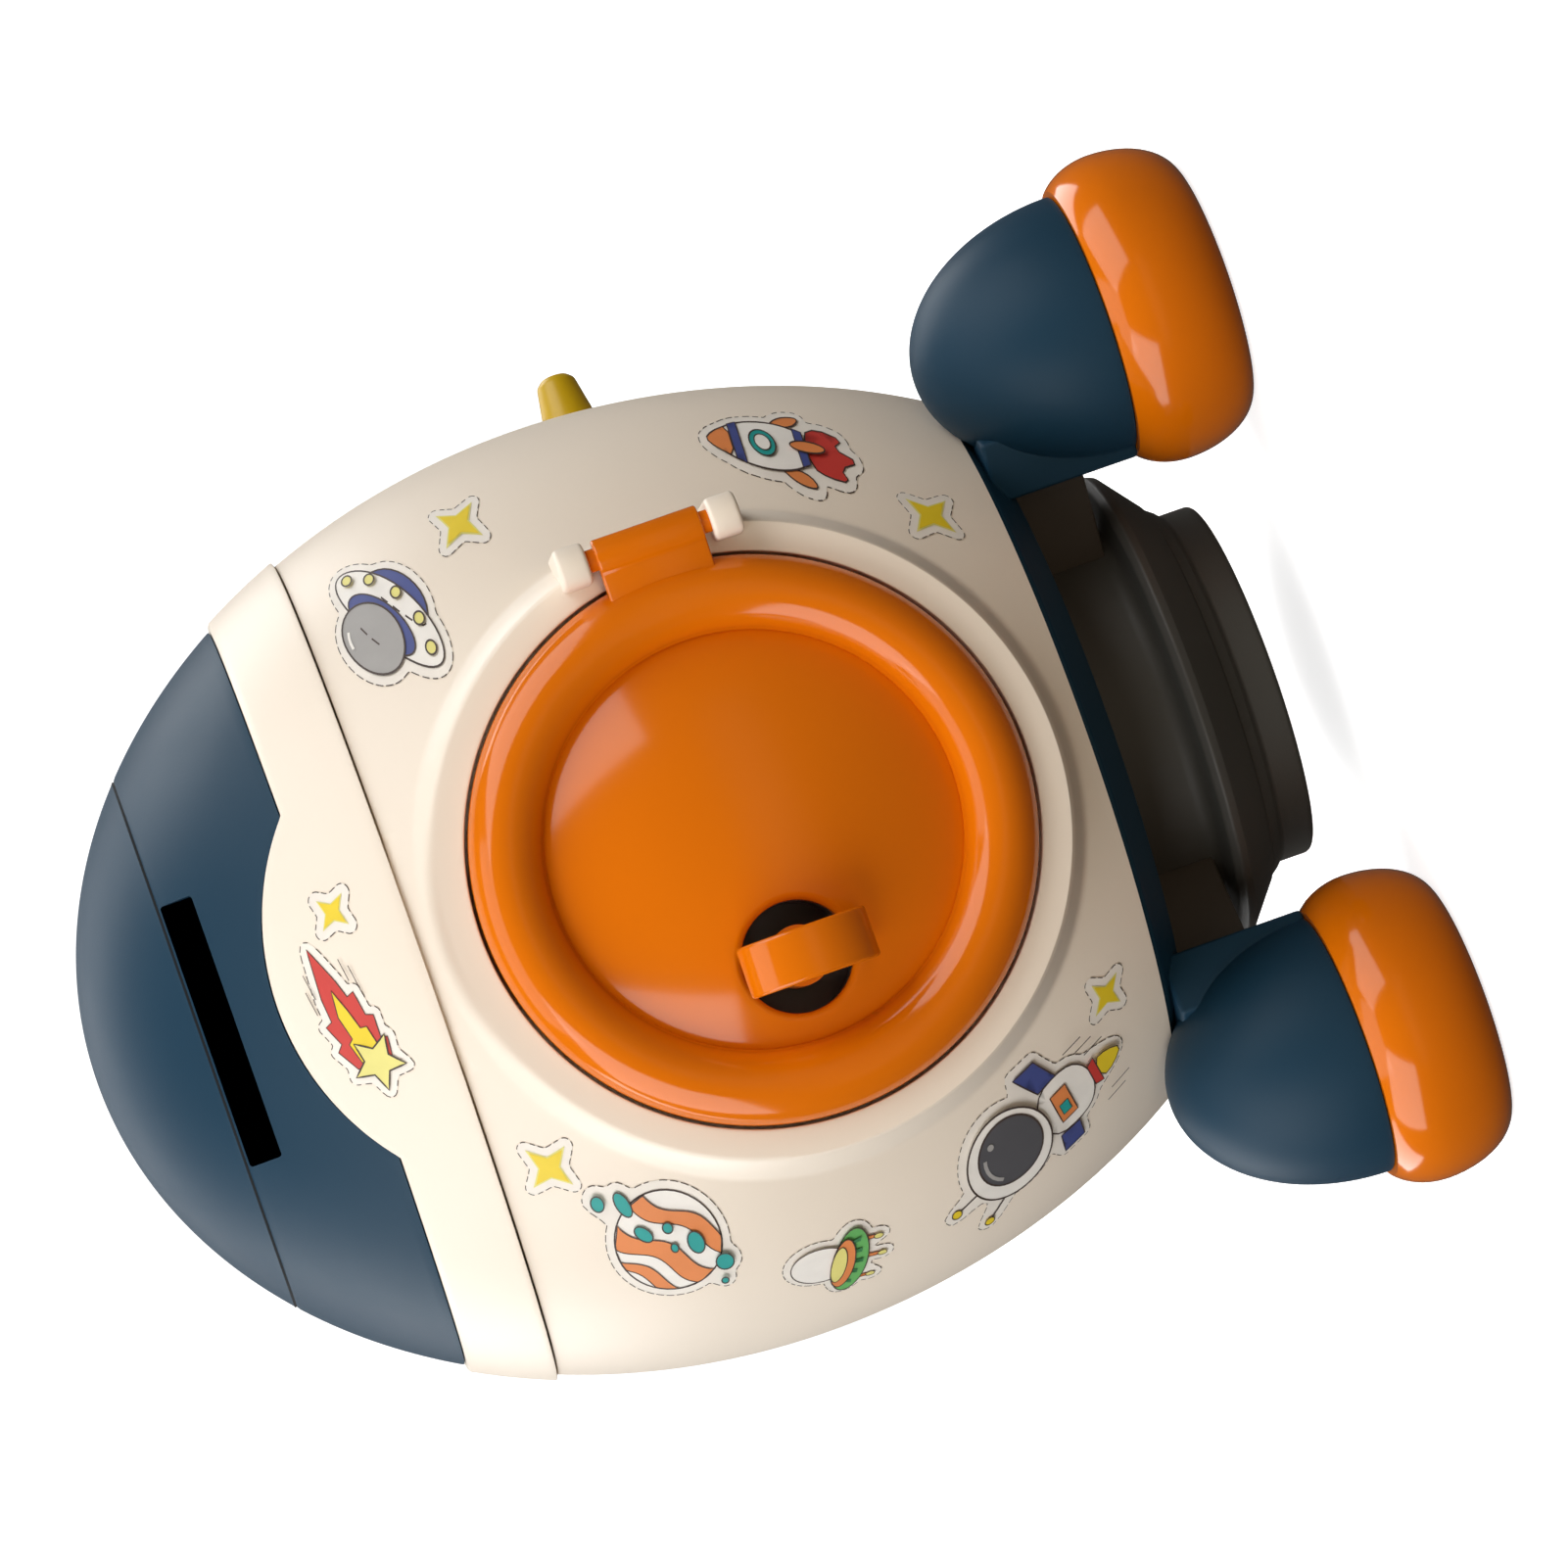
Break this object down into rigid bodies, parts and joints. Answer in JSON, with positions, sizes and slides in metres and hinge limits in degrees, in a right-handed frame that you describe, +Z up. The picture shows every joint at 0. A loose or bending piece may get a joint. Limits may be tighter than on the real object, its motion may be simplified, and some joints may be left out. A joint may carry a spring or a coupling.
{
  "type": "toy rocket coin bank",
  "caption": "Rocket-shaped toy coin bank: egg body on legs with bulb feet, slot in the nose, hinged round front door with turn latch.",
  "frame": {"origin": "on the body's axis, at the height of the soles of the feet", "axes": "+Z up along the body's axis, -Y towards the door, +X towards the door's hinge"},
  "size_m": [0.1682, 0.178, 0.204],
  "materials": {
    "cream_plastic": "satin moulded plastic, warm white, fine moulding texture",
    "navy_plastic": "satin navy moulded plastic",
    "orange_plastic": "high-gloss orange moulded plastic",
    "charcoal_plastic": "satin black-grey moulded plastic",
    "taupe_plastic": "satin grey-brown moulded plastic",
    "yellow_plastic": "satin yellow moulded plastic",
    "steel": "plated steel screws and clip"
  },
  "bodies": {
    "body": {"body_front_shell": "cream_plastic", "body_back_shell": "cream_plastic", "shell_screws": "steel", "collar_band": "cream_plastic", "nose_lower": "navy_plastic", "nose_cap": "navy_plastic", "coin_ramp": "navy_plastic", "base_dish": "navy_plastic", "base_screws": "steel", "leg_left": "navy_plastic", "leg_right": "navy_plastic", "leg_rear": "navy_plastic", "strut_left": "taupe_plastic", "strut_right": "taupe_plastic", "strut_rear": "taupe_plastic", "foot_left": "orange_plastic", "foot_right": "orange_plastic", "foot_rear": "orange_plastic", "leg_screws": "steel", "foot_screws": "steel", "nozzle": "charcoal_plastic", "nozzle_cover": "charcoal_plastic", "nozzle_screws": "steel"},
    "door": {"door_panel": "orange_plastic", "door_back_plate": "orange_plastic", "hinge_leaf": "orange_plastic", "hinge_pin": "orange_plastic", "latch_cup": "charcoal_plastic", "door_screws": "steel"},
    "latch": {"latch_handle": "orange_plastic", "latch_cam": "charcoal_plastic", "latch_screw": "steel"},
    "knob": {"side_knob": "yellow_plastic", "knob_clip": "steel"}
  },
  "joints": [
    {"name": "door_hinge", "type": "hinge", "parent": "body", "child": "door", "pos_m": [0.0471, -0.07188, 0.0992], "axis": [0, 0, 1], "range_deg": [0, 150]},
    {"name": "latch_turn", "type": "hinge", "parent": "door", "child": "latch", "pos_m": [-0.0187, -0.06848, 0.0988], "axis": [0, 1, 0], "range_deg": [0, 90]},
    {"name": "knob_turn", "type": "hinge", "parent": "body", "child": "knob", "pos_m": [0.07396, 0.01304, 0.098], "axis": [0.9848, 0.1736, 0], "continuous": true}
  ]
}
